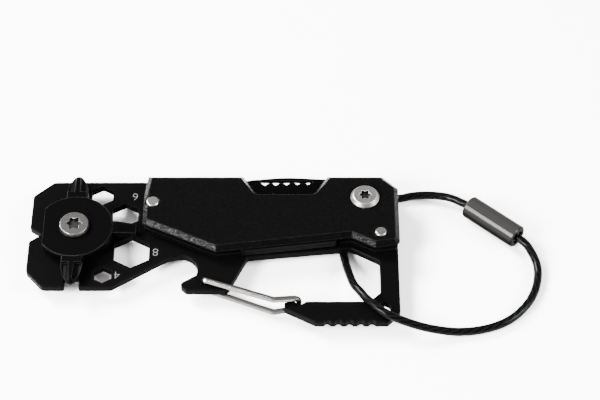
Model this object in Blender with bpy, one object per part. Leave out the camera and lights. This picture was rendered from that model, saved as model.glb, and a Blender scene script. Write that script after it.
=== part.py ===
"""Keychain multi tool: a flat plate with wrench holes, bottle opener and carabiner,
a folding blade under a chamfered cover, a turning bit wheel and a cable loop.

Plan sizes are in millimetres from the bit wheel's axis, X along the tool, Y across it.
Heights are in millimetres above the table that the tool lies on.
"""
import math

import bmesh
import bpy
from mathutils import Matrix, Vector

MM = 0.001

# Clearances
STACK_GAP = 0.1
PIN_GAP = 0.15
CORD_GAP = 0.3

# How far a cutter reaches past the solid that it cuts
CUT_PAST = 1.0
CUT_SLAB = 5.0

# Main sizes
TOOL_LENGTH = 84.4
TOOL_WIDTH = 40.7
WHEEL_FROM_LEFT = 10.5
WHEEL_FROM_TOP = 15.8

# Ends of the tool, measured from the wheel's axis
LEFT = -WHEEL_FROM_LEFT
RIGHT = LEFT + TOOL_LENGTH
TOP = WHEEL_FROM_TOP
ARM_BOTTOM = TOP - TOOL_WIDTH

# Thicknesses of the stack, from the table upwards
NUT_HEAD_HEIGHT = 2.2
PLATE_THICKNESS = 1.8
LINER_THICKNESS = 1.1
BLADE_WASHER_THICKNESS = 0.15
BLADE_THICKNESS = 0.9
COVER_THICKNESS = 1.3
WHEEL_WASHER_THICKNESS = 0.2
WHEEL_THICKNESS = 2.75

# Plate outline
PLATE_RIGHT = RIGHT - 0.3
PLATE_BOTTOM = -15.0
PLATE_EDGE_BREAK = 0.2
PLATE_TOP_CORNER_RUN = 4.6
PLATE_TOP_CORNER_DROP = 4.2
PLATE_LOW_CORNER_RUN = 3.9
PLATE_LOW_CORNER_RISE = 4.5
PRY_NOTCH_Y = 0.1
PRY_NOTCH_HALF_MOUTH = 2.0
PRY_NOTCH_DEPTH = 2.7
BIT_NOTCH_HALF_WIDTH = 1.65
BIT_NOTCH_DEPTH = 2.6
OPENER_CENTRE = (24.2, -10.2)
OPENER_RADIUS = 4.0
OPENER_ARC_START = math.radians(100)
OPENER_ARC_SWEEP = math.radians(120)
OPENER_SHOULDER = (21.3, -6.75)
OPENER_FOOT_X = 8.9
HOOK_LEFT = 24.6
HOOK_RIGHT = 35.1
HOOK_TIP = -13.75
HOOK_BOTTOM = -16.0
HOOK_SLOPE = 1.2
WINDOW_LEFT = 39.4
WINDOW_TOP_LEFT = -6.5
WINDOW_TOP_RIGHT = -4.0
WINDOW_PEAK = RIGHT - 11.0
WINDOW_SHOULDER_DROP = 3.7
WINDOW_RIGHT = RIGHT - 4.6
WINDOW_BOTTOM_CORNER = 2.5
ARM_TOP = ARM_BOTTOM + 5.9
ARM_CORNER = 2.9
NOSE_LEFT = RIGHT - 26.1
NOSE_LENGTH = 2.2
NOSE_HEIGHT = 1.8
NOSE_NOTCH = 1.2
NOSE_NOTCH_RUN = 1.1
NOSE_RAMP_RUN = 2.7
NOSE_LIP = 0.2
NOSE_SINK = 0.3
SCALLOP_COUNT = 5
SCALLOP_FIRST = RIGHT - 16.6
SCALLOP_PITCH = 2.48
SCALLOP_DEPTH = 0.75
SCALLOP_HALF_WIDTH = 0.85
SCALLOP_LEAD = 2.6
HEX_HOLES = ((8.0, 13.05, -5.0), (6.0, 11.1, 5.9), (5.0, 5.5, 11.7), (4.0, 6.9, -11.6))
LANYARD_HOLE_RADIUS = 1.55
LANYARD_HOLE = (RIGHT - 3.9, ARM_BOTTOM + 4.1)

# Cover and liner
COVER_LEFT = 15.4
COVER_TOP = 14.7
COVER_CORNER = 3.6
COVER_CHAMFER = 1.05
COVER_LEFT_LOW = 0.8
COVER_LEFT_HIGH = 8.7
COVER_LEFT_LEAN = 0.8
COVER_EDGE_LEFT = (32.3, -7.4)
COVER_EDGE_RIGHT = (RIGHT - 11.0, -3.3)
COVER_FOOT = (RIGHT - 5.6, -6.2)
COVER_HEEL = (RIGHT - 0.7, -5.35)
COVER_HEEL_CORNER = 0.8
THUMB_WINDOW_BOTTOM = 9.6
THUMB_WINDOW_RIGHT = RIGHT - 19.5
THUMB_WINDOW_WIDTH = 13.0
THUMB_WINDOW_FLARE = 3.3
THUMB_WINDOW_LIP = 0.4
LINER_INSET = 0.4
LEAF_PROUD = 0.4
LEAF_LEFT = 38.0
LEAF_RIGHT = RIGHT - 14.3
LEAF_WIDTH = 4.6
LEAF_RIB = 2.6
LEAF_SLOT = 0.9

# Blade, measured from its pivot
PIVOT = (RIGHT - 7.7, 7.6)
LEFT_PIN = (17.55, 6.5)
BLADE_TIP_GAP = 5.6
BLADE_TIP_X = LEFT_PIN[0] - PIVOT[0] + BLADE_TIP_GAP
BLADE_TIP_Y = 0.9
BLADE_BELLY = 7.0
BLADE_BELLY_ROUND = 14.0
BLADE_SPINE_Y = 7.4
BLADE_EDGE_Y = -4.6
BLADE_HEEL_X = -9.6
CHOIL_RUN = 0.4
CHOIL_RISE = 1.3
CHOIL_END_RUN = 2.2
CHOIL_END_RISE = 0.6
BLADE_EDGE_THICKNESS = 0.16
BLADE_GRIND_WIDTH = 4.6
BLADE_GRIND_END_X = -10.5
TANG_RADIUS = 6.0
TANG_FRONT_IN = 1.0
TANG_FRONT_RISE = 0.2
TANG_BACK_IN = 1.2
TANG_BACK_RISE = 0.4
TANG_END_OUT = 0.2
SPINE_TANG_DROP = 0.6
SPINE_RIGHT_RUN = 2.9
SPINE_RIGHT_DROP = 0.5
SPINE_CROWN_RUN = 6.2
SPINE_CROWN_RISE = 0.1
SPINE_LEFT_RUN = 3.8
SPINE_LEFT_DROP = 0.9
THUMB_SLOT_LEFT = -24.2
THUMB_SLOT_RIGHT = -11.9
THUMB_SLOT_TOP = 6.5
THUMB_SLOT_BOTTOM = 5.8
THUMB_NOTCH_COUNT = 5
THUMB_NOTCH_FIRST_X = -23.0
THUMB_NOTCH_PITCH = 2.5
THUMB_NOTCH_FIRST_DEPTH = 0.85
THUMB_NOTCH_DEPTH_STEP = 0.08
THUMB_NOTCH_HALF_WIDTH = 0.95

# Bit wheel, measured from its axis
WHEEL_RADIUS = 8.75
WHEEL_FLAT_X = -7.0
WHEEL_CHAMFER = 0.15
CROSS_BIT_TIP = 15.75
CROSS_BIT_SHOULDER = 9.6
CROSS_BIT_RADIUS = 2.6
CROSS_BIT_TAPER = 1.3
CROSS_BIT_END_ANGLE = math.radians(80)
FLUTE_RADIUS = 1.2
FLUTE_START = 10.3
WING_HALF_THICKNESS = 0.28
FLUTE_SPREAD = 0.25
SLOT_BIT_TIP = 13.9
SLOT_BIT_SHOULDER = 9.6
SLOT_BIT_ROOT_HALF_WIDTH = 1.65
SLOT_BIT_TIP_HALF_WIDTH = 1.3
SLOT_BIT_ROOT_HALF_HEIGHT = 1.05
SLOT_BIT_TIP_HALF_HEIGHT = 0.45

# Screws, nuts, bushes and pins
BARREL_RADIUS = 1.45
SHANK_RADIUS = 0.8
NUT_HEAD_RADIUS = 2.9
NUT_HEAD_CHAMFER = 0.5
NUT_FLOOR = 0.9
BUSH_WALL = 0.55
BLADE_WASHER_RADIUS = 3.6
WHEEL_WASHER_RADIUS = 4.0
PIVOT_HEAD_RADIUS = 3.3
PIVOT_HEAD_TOP_RADIUS = 2.7
PIVOT_HEAD_HEIGHT = 1.0
PIVOT_LOBE_RADIUS = 1.2
PIVOT_LOBE_DEPTH = 0.8
WHEEL_HEAD_RADIUS = 3.45
WHEEL_HEAD_TOP_RADIUS = 3.2
WHEEL_HEAD_HEIGHT = 0.9
WHEEL_LOBE_RADIUS = 1.55
WHEEL_LOBE_DEPTH = 0.7
HEAD_RIM = 0.25
LOBE_SWELL = 0.2
LEFT_PIN_RADIUS = 1.4
STOP_PIN = (RIGHT - 4.3, -2.4)
STOP_PIN_RADIUS = 1.25
PIN_PROUD = 0.15
SPACER_WALL = 0.5

# Wire gate
GATE_PIVOT = (29.6, -13.6)
GATE_KINK = (RIGHT - 28.5, ARM_TOP - 0.3)
GATE_END = (RIGHT - 22.85, ARM_TOP + 0.15)
GATE_LOWER_DROP = 0.8
GATE_WIRE_RADIUS = 0.7
GATE_BEND = 1.1

# Cable loop
CABLE_RADIUS = 0.95
CABLE_STEP = 4.0
SLEEVE_CENTRE = (RIGHT + 21.9, 4.95)
SLEEVE_ANGLE = -41.0
SLEEVE_LENGTH = 14.2
SLEEVE_RADIUS = 2.7
SLEEVE_FLOOR_GAP = 0.05
SLEEVE_CHAMFER = 0.3
FERRULE_RADIUS = 1.5
FERRULE_LENGTH = 4.9
FERRULE_CHAMFER = 0.2
FERRULE_RECESS = 0.5

ROUND_SEGMENTS = 40
SMALL_SEGMENTS = 28
SHARP_ANGLE = math.radians(32)

# Heights worked out from the stack
PLATE_Z = NUT_HEAD_HEIGHT + STACK_GAP
PLATE_TOP_Z = PLATE_Z + PLATE_THICKNESS
LINER_Z = PLATE_TOP_Z + STACK_GAP
LINER_TOP_Z = LINER_Z + LINER_THICKNESS
LOWER_WASHER_Z = LINER_TOP_Z + STACK_GAP
BLADE_Z = LOWER_WASHER_Z + BLADE_WASHER_THICKNESS + STACK_GAP
BLADE_TOP_Z = BLADE_Z + BLADE_THICKNESS
UPPER_WASHER_Z = BLADE_TOP_Z + STACK_GAP
COVER_Z = UPPER_WASHER_Z + BLADE_WASHER_THICKNESS + STACK_GAP
COVER_TOP_Z = COVER_Z + COVER_THICKNESS
WHEEL_WASHER_Z = PLATE_TOP_Z + STACK_GAP
WHEEL_Z = WHEEL_WASHER_Z + WHEEL_WASHER_THICKNESS + STACK_GAP
WHEEL_MIDDLE_Z = WHEEL_Z + WHEEL_THICKNESS / 2
WHEEL_TOP_Z = WHEEL_Z + WHEEL_THICKNESS
SLEEVE_Z = SLEEVE_RADIUS + SLEEVE_FLOOR_GAP

# Fits worked out from the sizes above
BARREL_HOLE = BARREL_RADIUS + PIN_GAP
BUSH_RADIUS = BARREL_HOLE + BUSH_WALL
BUSH_HOLE = BUSH_RADIUS + PIN_GAP
GATE_HOLE = GATE_WIRE_RADIUS + PIN_GAP
SLEEVE_BORE = FERRULE_RADIUS + STACK_GAP

# The origin is under the middle of the tool, without its cable
ORIGIN_X = LEFT + TOOL_LENGTH / 2
ORIGIN_Y = TOP - TOOL_WIDTH / 2


def clear_scene():
    for item in list(bpy.data.objects):
        bpy.data.objects.remove(item, do_unlink=True)


def make_material(name, colour, roughness, metallic):
    material = bpy.data.materials.new(name)
    material.use_nodes = True
    shader = material.node_tree.nodes["Principled BSDF"]
    shader.inputs["Base Color"].default_value = (*colour, 1.0)
    shader.inputs["Roughness"].default_value = roughness
    shader.inputs["Metallic"].default_value = metallic
    return material


# Outlines

def fillet(corners, steps=5):
    """Outline through corners given as (x, y, radius), with an arc at each round corner."""
    points = []
    count = len(corners)
    for index, (x, y, radius) in enumerate(corners):
        here = Vector((x, y))
        if radius <= 0:
            points.append(here)
            continue
        to_last = Vector(corners[index - 1][:2]) - here
        to_next = Vector(corners[(index + 1) % count][:2]) - here
        half = to_last.angle(to_next) / 2
        reach = min(radius / math.tan(half), 0.48 * to_last.length, 0.48 * to_next.length)
        start = here + to_last.normalized() * reach
        end = here + to_next.normalized() * reach
        bisector = (to_last.normalized() + to_next.normalized()).normalized()
        centre = here + bisector * (reach / math.cos(half))
        from_centre = start - centre
        sweep = from_centre.angle_signed(end - centre)
        for step in range(steps + 1):
            turn = Matrix.Rotation(-sweep * step / steps, 2)
            points.append(centre + turn @ from_centre)
    return points


def counter_clockwise(points):
    area = sum(a.cross(b) for a, b in zip(points, points[1:] + points[:1]))
    return points if area > 0 else list(reversed(points))


def inset(points, distance):
    """Offset of a counter-clockwise outline towards its inside, with mitred corners."""
    moved = []
    count = len(points)
    for index, here in enumerate(points):
        along = (here - points[index - 1]).normalized()
        away = (points[(index + 1) % count] - here).normalized()
        normal_in = Vector((-along.y, along.x))
        normal_out = Vector((-away.y, away.x))
        mitre = (normal_in + normal_out).normalized()
        moved.append(here + mitre * (distance / mitre.dot(normal_in)))
    return moved


def hexagon(across_flats, x, y):
    """Hexagon with its flats left and right and its points up and down."""
    corner = across_flats / math.sqrt(3)
    points = []
    for side in range(6):
        angle = math.radians(60 * side)
        points.append(Vector((x + corner * math.sin(angle), y + corner * math.cos(angle))))
    return points


def circle(radius, x, y, segments=SMALL_SEGMENTS):
    points = []
    for step in range(segments):
        angle = math.tau * step / segments
        points.append(Vector((x + radius * math.cos(angle), y + radius * math.sin(angle))))
    return points


def six_lobes(radius, steps=36):
    """Six-lobe screw recess."""
    points = []
    for step in range(steps):
        angle = math.tau * step / steps
        reach = radius * (1 + LOBE_SWELL * math.cos(6 * angle))
        points.append(Vector((reach * math.cos(angle), reach * math.sin(angle))))
    return points


# Solids

def add_rings(mesh, rings):
    """Closed body through rings of (points, z), bottom to top."""
    loops = []
    for points, z in rings:
        loops.append([mesh.verts.new((p.x * MM, p.y * MM, z * MM)) for p in points])
    mesh.faces.new(list(reversed(loops[0])))
    mesh.faces.new(loops[-1])
    count = len(loops[0])
    for lower, upper in zip(loops, loops[1:]):
        for index in range(count):
            after = (index + 1) % count
            mesh.faces.new((lower[index], lower[after], upper[after], upper[index]))


def add_prism(mesh, points, bottom, top, bottom_break=0.0, top_break=0.0):
    """Upright solid of an outline, with its lower and upper edges broken at 45 degrees."""
    outline = counter_clockwise(points)
    rings = []
    if bottom_break > 0:
        rings.append((inset(outline, bottom_break), bottom))
    rings.append((outline, bottom + bottom_break))
    rings.append((outline, top - top_break))
    if top_break > 0:
        rings.append((inset(outline, top_break), top))
    add_rings(mesh, rings)


def add_turned(mesh, profile, segments=ROUND_SEGMENTS):
    """Solid turned round Z from a profile of (radius, z), closed by a flat face at each end."""
    rings = [
        [mesh.verts.new((p.x * MM, p.y * MM, z * MM)) for p in circle(radius, 0, 0, segments)]
        for radius, z in profile
    ]
    mesh.faces.new(rings[0])
    mesh.faces.new(rings[-1])
    for lower, upper in zip(rings, rings[1:]):
        for index in range(segments):
            after = (index + 1) % segments
            mesh.faces.new((lower[index], lower[after], upper[after], upper[index]))


def add_tube(mesh, outer, inner, bottom, top, segments=SMALL_SEGMENTS, edge=0.0):
    """Ring with a bore, its outer edges broken."""
    corners = [
        (outer - edge, bottom), (outer, bottom + edge), (outer, top - edge), (outer - edge, top),
        (inner, top), (inner, bottom),
    ]
    if edge == 0:
        corners = [(outer, bottom), (outer, top), (inner, top), (inner, bottom)]
    rings = [
        [mesh.verts.new((p.x * MM, p.y * MM, z * MM)) for p in circle(radius, 0, 0, segments)]
        for radius, z in corners
    ]
    for lower, upper in zip(rings, rings[1:] + rings[:1]):
        for index in range(segments):
            after = (index + 1) % segments
            mesh.faces.new((lower[index], lower[after], upper[after], upper[index]))


def new_object(name, mesh, place, parent, material=None):
    """Object from a bmesh, placed at (x, y, z) in its parent's frame."""
    bmesh.ops.recalc_face_normals(mesh, faces=mesh.faces)
    data = bpy.data.meshes.new(name)
    mesh.to_mesh(data)
    mesh.free()
    data.shade_smooth()
    data.set_sharp_from_angle(angle=SHARP_ANGLE)
    item = bpy.data.objects.new(name, data)
    bpy.context.scene.collection.objects.link(item)
    item.parent = parent
    item.location = [size * MM for size in place]
    if material:
        data.materials.append(material)
    return item


def combine(target, name, mesh, operation="DIFFERENCE"):
    """Boolean of a target with a helper body that shares the target's frame."""
    helper = new_object(name, mesh, [size / MM for size in target.location], target.parent)
    helper.hide_render = True
    helper.display_type = "WIRE"
    modifier = target.modifiers.new(name, "BOOLEAN")
    modifier.operation = operation
    modifier.solver = "EXACT"
    modifier.object = helper
    return helper


# Plate

def scallops():
    """Grip notches along the carabiner arm's lower edge."""
    corners = []
    for index in range(SCALLOP_COUNT):
        x = SCALLOP_FIRST + index * SCALLOP_PITCH
        corners.append((x - SCALLOP_HALF_WIDTH, ARM_BOTTOM, 0.25))
        corners.append((x, ARM_BOTTOM + SCALLOP_DEPTH, 0.6))
        corners.append((x + SCALLOP_HALF_WIDTH, ARM_BOTTOM, 0.25))
    return corners


def opener_arc(steps=9):
    """Round mouth of the bottle opener, from its far side to the hook."""
    corners = []
    for step in range(steps + 1):
        angle = OPENER_ARC_START - OPENER_ARC_SWEEP * step / steps
        x = OPENER_CENTRE[0] + OPENER_RADIUS * math.cos(angle)
        y = OPENER_CENTRE[1] + OPENER_RADIUS * math.sin(angle)
        corners.append((x, y, 0))
    return corners


def wrench_end():
    """Left end with its pry notch and bit notch, downwards."""
    return [
        (LEFT + PLATE_TOP_CORNER_RUN, TOP, 1.2),
        (LEFT, TOP - PLATE_TOP_CORNER_DROP, 1.2),
        (LEFT, PRY_NOTCH_Y + PRY_NOTCH_HALF_MOUTH, 0.6),
        (LEFT + PRY_NOTCH_DEPTH, PRY_NOTCH_Y, 0.3),
        (LEFT, PRY_NOTCH_Y - PRY_NOTCH_HALF_MOUTH, 0.6),
        (LEFT, PLATE_BOTTOM + PLATE_LOW_CORNER_RISE, 1.6),
        (LEFT + PLATE_LOW_CORNER_RUN, PLATE_BOTTOM, 1.4),
        (-BIT_NOTCH_HALF_WIDTH, PLATE_BOTTOM, 0.3),
        (-BIT_NOTCH_HALF_WIDTH, PLATE_BOTTOM + BIT_NOTCH_DEPTH, 0.3),
        (BIT_NOTCH_HALF_WIDTH, PLATE_BOTTOM + BIT_NOTCH_DEPTH, 0.3),
        (BIT_NOTCH_HALF_WIDTH, PLATE_BOTTOM, 0.3),
        (OPENER_FOOT_X, PLATE_BOTTOM, 1.0),
        (*OPENER_SHOULDER, 5.0),
    ]


def opener_hook():
    """Bottle opener, from its mouth round its hook."""
    return [
        *opener_arc(),
        (HOOK_LEFT, HOOK_TIP, 0.6),
        (HOOK_LEFT, HOOK_BOTTOM + HOOK_SLOPE, 0.7),
        (HOOK_LEFT + HOOK_SLOPE, HOOK_BOTTOM, 0.9),
        (HOOK_RIGHT, HOOK_BOTTOM, 1.3),
    ]


def carabiner():
    """Carabiner window, then the arm's nose and scalloped lower edge."""
    nose_right = NOSE_LEFT + NOSE_LENGTH
    return [
        (WINDOW_LEFT, WINDOW_TOP_LEFT, 0.8),
        (WINDOW_PEAK, WINDOW_TOP_RIGHT, 0.8),
        (WINDOW_RIGHT, WINDOW_TOP_RIGHT - WINDOW_SHOULDER_DROP, 0.8),
        (WINDOW_RIGHT, ARM_TOP + WINDOW_BOTTOM_CORNER, 0.6),
        (WINDOW_RIGHT - WINDOW_BOTTOM_CORNER, ARM_TOP, 0.6),
        (nose_right + NOSE_RAMP_RUN, ARM_TOP, 0.4),
        (nose_right + NOSE_NOTCH_RUN, ARM_TOP - NOSE_NOTCH, 0.25),
        (nose_right, ARM_TOP + NOSE_LIP, 0.3),
        (NOSE_LEFT, ARM_TOP - NOSE_SINK, 0.4),
        (NOSE_LEFT, ARM_TOP - NOSE_SINK - NOSE_HEIGHT, 0.4),
        (SCALLOP_FIRST - SCALLOP_LEAD, ARM_BOTTOM, 0.8),
        *scallops(),
        (PLATE_RIGHT - ARM_CORNER, ARM_BOTTOM, 0.6),
        (PLATE_RIGHT, ARM_BOTTOM + ARM_CORNER, 0.8),
    ]


def blade_side():
    """Right end and the far edge with its thumb window, back to the left end."""
    left = THUMB_WINDOW_RIGHT - THUMB_WINDOW_WIDTH
    low = THUMB_WINDOW_BOTTOM - THUMB_WINDOW_LIP
    return [
        (PLATE_RIGHT, TOP - COVER_CORNER, 0.8),
        (PLATE_RIGHT - COVER_CORNER, TOP, 0.8),
        (THUMB_WINDOW_RIGHT + THUMB_WINDOW_FLARE - THUMB_WINDOW_LIP, TOP, 0.5),
        (THUMB_WINDOW_RIGHT - THUMB_WINDOW_LIP, low, 0.8),
        (left + THUMB_WINDOW_LIP, low, 0.8),
        (left - THUMB_WINDOW_FLARE + THUMB_WINDOW_LIP, TOP, 0.5),
    ]


def plate_outline():
    return fillet(wrench_end() + opener_hook() + carabiner() + blade_side())


def make_plate(frame, material):
    mesh = bmesh.new()
    add_prism(mesh, plate_outline(), PLATE_Z, PLATE_TOP_Z, PLATE_EDGE_BREAK, PLATE_EDGE_BREAK)
    plate = new_object("body_plate", mesh, (0, 0, 0), frame, material)
    holes = [hexagon(*hole) for hole in HEX_HOLES]
    holes.append(circle(LANYARD_HOLE_RADIUS, *LANYARD_HOLE))
    holes.append(circle(BARREL_HOLE, 0, 0))
    holes.append(circle(BARREL_HOLE, *PIVOT))
    holes.append(circle(GATE_HOLE, *GATE_PIVOT, 20))
    holes.append(circle(LEFT_PIN_RADIUS + PIN_GAP, *LEFT_PIN))
    holes.append(circle(STOP_PIN_RADIUS + PIN_GAP, *STOP_PIN))
    cutter = bmesh.new()
    for hole in holes:
        add_prism(cutter, hole, PLATE_Z - CUT_PAST, PLATE_TOP_Z + CUT_PAST)
    combine(plate, "plate_holes", cutter)
    return plate


# Cover and liner

def cover_outline():
    left = THUMB_WINDOW_RIGHT - THUMB_WINDOW_WIDTH
    return counter_clockwise(fillet([
        (COVER_LEFT, COVER_LEFT_LOW, 0),
        (*COVER_EDGE_LEFT, 0),
        (*COVER_EDGE_RIGHT, 0),
        (*COVER_FOOT, 0),
        (*COVER_HEEL, 0),
        (RIGHT, COVER_HEEL[1] + COVER_HEEL_CORNER, 0),
        (RIGHT, COVER_TOP - COVER_CORNER, 0),
        (RIGHT - COVER_CORNER, COVER_TOP, 0),
        (THUMB_WINDOW_RIGHT + THUMB_WINDOW_FLARE, COVER_TOP, 0),
        (THUMB_WINDOW_RIGHT, THUMB_WINDOW_BOTTOM, 1.2),
        (left, THUMB_WINDOW_BOTTOM, 1.2),
        (left - THUMB_WINDOW_FLARE, COVER_TOP, 0),
        (COVER_LEFT + COVER_LEFT_LEAN, COVER_TOP, 0),
        (COVER_LEFT, COVER_LEFT_HIGH, 0),
    ]))


def make_cover(frame, material):
    mesh = bmesh.new()
    add_prism(mesh, cover_outline(), COVER_Z, COVER_TOP_Z, 0.0, COVER_CHAMFER)
    cover = new_object("front_cover", mesh, (0, 0, 0), frame, material)
    cutter = bmesh.new()
    for hole in (
        circle(BARREL_HOLE, *PIVOT),
        circle(LEFT_PIN_RADIUS + PIN_GAP, *LEFT_PIN),
        circle(STOP_PIN_RADIUS + PIN_GAP, *STOP_PIN),
    ):
        add_prism(cutter, hole, COVER_Z - CUT_PAST, COVER_TOP_Z + CUT_PAST)
    combine(cover, "cover_holes", cutter)
    return cover


def cover_edge_y(x):
    """Height of the cover's long lower edge at x."""
    left, right = Vector(COVER_EDGE_LEFT), Vector(COVER_EDGE_RIGHT)
    return left.y + (x - left.x) * (right.y - left.y) / (right.x - left.x)


def leaf_rib():
    """Raised rib of the lock leaf along the cover's long edge, a little past that edge."""
    right = LEAF_RIGHT - STACK_GAP
    return fillet([
        (LEAF_LEFT, cover_edge_y(LEAF_LEFT) - LEAF_PROUD, 0.6),
        (right, cover_edge_y(right) - LEAF_PROUD, 0.3),
        (right, cover_edge_y(right) + LEAF_RIB, 0.3),
        (LEAF_LEFT, cover_edge_y(LEAF_LEFT) + LEAF_RIB, 0.6),
    ], steps=4)


def leaf_slot():
    """Cut that frees the leaf's right end and its back from the liner."""
    right = LEAF_RIGHT + LEAF_SLOT
    low = cover_edge_y(right) - 2 * CUT_PAST
    return fillet([
        (LEAF_RIGHT, low, 0),
        (right, low, 0),
        (right, cover_edge_y(right) + LEAF_WIDTH + LEAF_SLOT, 0.4),
        (LEAF_LEFT, cover_edge_y(LEAF_LEFT) + LEAF_WIDTH + LEAF_SLOT, 0.3),
        (LEAF_LEFT, cover_edge_y(LEAF_LEFT) + LEAF_WIDTH, 0.3),
        (LEAF_RIGHT, cover_edge_y(LEAF_RIGHT) + LEAF_WIDTH, 0.2),
    ], steps=3)


def make_liner(frame, material):
    """Sheet under the blade whose lock leaf rises beside the closed blade's edge."""
    mesh = bmesh.new()
    add_prism(mesh, inset(cover_outline(), LINER_INSET), LINER_Z, LINER_TOP_Z)
    liner = new_object("lock_liner", mesh, (0, 0, 0), frame, material)
    rib = bmesh.new()
    add_prism(rib, leaf_rib(), LINER_TOP_Z - STACK_GAP, COVER_Z - STACK_GAP)
    combine(liner, "leaf_rib", rib, "UNION")
    cutter = bmesh.new()
    for hole in (
        leaf_slot(),
        circle(BARREL_HOLE, *PIVOT),
        circle(LEFT_PIN_RADIUS + PIN_GAP, *LEFT_PIN),
        circle(STOP_PIN_RADIUS + PIN_GAP, *STOP_PIN),
    ):
        add_prism(cutter, hole, LINER_Z - CUT_PAST, LINER_TOP_Z + CUT_PAST)
    combine(liner, "liner_holes", cutter)
    return liner


# Blade

def blade_outline():
    return fillet([
        (BLADE_TIP_X, BLADE_TIP_Y, 0.25),
        (BLADE_TIP_X + BLADE_BELLY, BLADE_EDGE_Y, BLADE_BELLY_ROUND),
        (BLADE_HEEL_X, BLADE_EDGE_Y, 0.4),
        (BLADE_HEEL_X + CHOIL_RUN, BLADE_EDGE_Y + CHOIL_RISE, 0.5),
        (BLADE_HEEL_X + CHOIL_END_RUN, BLADE_EDGE_Y + CHOIL_END_RISE, 0.6),
        (-TANG_RADIUS + TANG_FRONT_IN, -TANG_RADIUS + TANG_FRONT_RISE, 2.0),
        (TANG_RADIUS - TANG_BACK_IN, -TANG_RADIUS + TANG_BACK_RISE, 3.0),
        (TANG_RADIUS + TANG_END_OUT, TANG_RADIUS / 3, 3.5),
        (TANG_RADIUS / 3, BLADE_SPINE_Y - SPINE_TANG_DROP, 3.0),
        (THUMB_SLOT_RIGHT + SPINE_RIGHT_RUN, BLADE_SPINE_Y - SPINE_RIGHT_DROP, 20.0),
        (THUMB_SLOT_LEFT + SPINE_CROWN_RUN, BLADE_SPINE_Y + SPINE_CROWN_RISE, 30.0),
        (THUMB_SLOT_LEFT - SPINE_LEFT_RUN, BLADE_SPINE_Y - SPINE_LEFT_DROP, 25.0),
    ], steps=6)


def thumb_slot():
    """Slot below the spine whose lower edge has V notches that grow shallower."""
    corners = [(THUMB_SLOT_LEFT, THUMB_SLOT_TOP, 0.4), (THUMB_SLOT_LEFT, THUMB_SLOT_BOTTOM, 0.2)]
    for index in range(THUMB_NOTCH_COUNT):
        x = THUMB_NOTCH_FIRST_X + index * THUMB_NOTCH_PITCH
        depth = THUMB_NOTCH_FIRST_DEPTH - index * THUMB_NOTCH_DEPTH_STEP
        half_width = THUMB_NOTCH_HALF_WIDTH * depth / THUMB_NOTCH_FIRST_DEPTH
        corners.append((x - half_width, THUMB_SLOT_BOTTOM, 0))
        corners.append((x, THUMB_SLOT_BOTTOM - depth, 0.2))
        corners.append((x + half_width, THUMB_SLOT_BOTTOM, 0))
    corners += [(THUMB_SLOT_RIGHT, THUMB_SLOT_BOTTOM, 0.2), (THUMB_SLOT_RIGHT, THUMB_SLOT_TOP, 0.4)]
    return fillet(corners, steps=3)


def add_grind(mesh, side):
    """Wedge that hollows one face of the blade down to its edge."""
    middle = BLADE_Z + BLADE_THICKNESS / 2
    low = BLADE_EDGE_Y - CUT_PAST
    high = BLADE_EDGE_Y + BLADE_GRIND_WIDTH
    section = [
        (low, BLADE_EDGE_THICKNESS / 2),
        (BLADE_EDGE_Y, BLADE_EDGE_THICKNESS / 2),
        (high, BLADE_THICKNESS / 2 + 0.02),
        (high, BLADE_THICKNESS),
        (low, BLADE_THICKNESS),
    ]
    loops = []
    for x in (BLADE_TIP_X - 2 * CUT_PAST, BLADE_GRIND_END_X):
        loops.append([mesh.verts.new((x * MM, y * MM, (middle + side * z) * MM)) for y, z in section])
    mesh.faces.new(loops[0])
    mesh.faces.new(list(reversed(loops[1])))
    for index in range(len(section)):
        after = (index + 1) % len(section)
        mesh.faces.new((loops[0][index], loops[1][index], loops[1][after], loops[0][after]))


def make_blade(frame, material):
    mesh = bmesh.new()
    add_prism(mesh, blade_outline(), BLADE_Z, BLADE_TOP_Z)
    blade = new_object("blade", mesh, (*PIVOT, 0), frame, material)
    cutter = bmesh.new()
    add_prism(cutter, thumb_slot(), BLADE_Z - CUT_PAST, BLADE_TOP_Z + CUT_PAST)
    add_prism(cutter, circle(BUSH_HOLE, 0, 0), BLADE_Z - CUT_PAST, BLADE_TOP_Z + CUT_PAST)
    combine(blade, "blade_holes", cutter)
    grind = bmesh.new()
    add_grind(grind, 1)
    add_grind(grind, -1)
    combine(blade, "blade_grind", grind)
    return blade


# Bit wheel

def add_cross_bit(mesh, direction, steps=9):
    """Bullet-shaped bit along +Y or -Y, turned and then laid on its side."""
    profile = [(CROSS_BIT_RADIUS, WHEEL_RADIUS / 2)]
    for step in range(steps + 1):
        angle = CROSS_BIT_END_ANGLE * step / steps
        y = CROSS_BIT_SHOULDER + (CROSS_BIT_TIP - CROSS_BIT_SHOULDER) * math.sin(angle)
        profile.append((CROSS_BIT_RADIUS * math.cos(angle) ** CROSS_BIT_TAPER, y))
    part = bmesh.new()
    add_turned(part, profile, SMALL_SEGMENTS)
    lay = Matrix.Rotation(-direction * math.pi / 2, 4, "X")
    raise_up = Matrix.Translation((0, 0, WHEEL_MIDDLE_Z * MM))
    bmesh.ops.transform(part, matrix=raise_up @ lay, verts=part.verts)
    join_into(mesh, part)


def join_into(mesh, part):
    data = bpy.data.meshes.new("joined")
    bmesh.ops.recalc_face_normals(part, faces=part.faces)
    part.to_mesh(data)
    part.free()
    mesh.from_mesh(data)
    bpy.data.meshes.remove(data)


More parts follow.
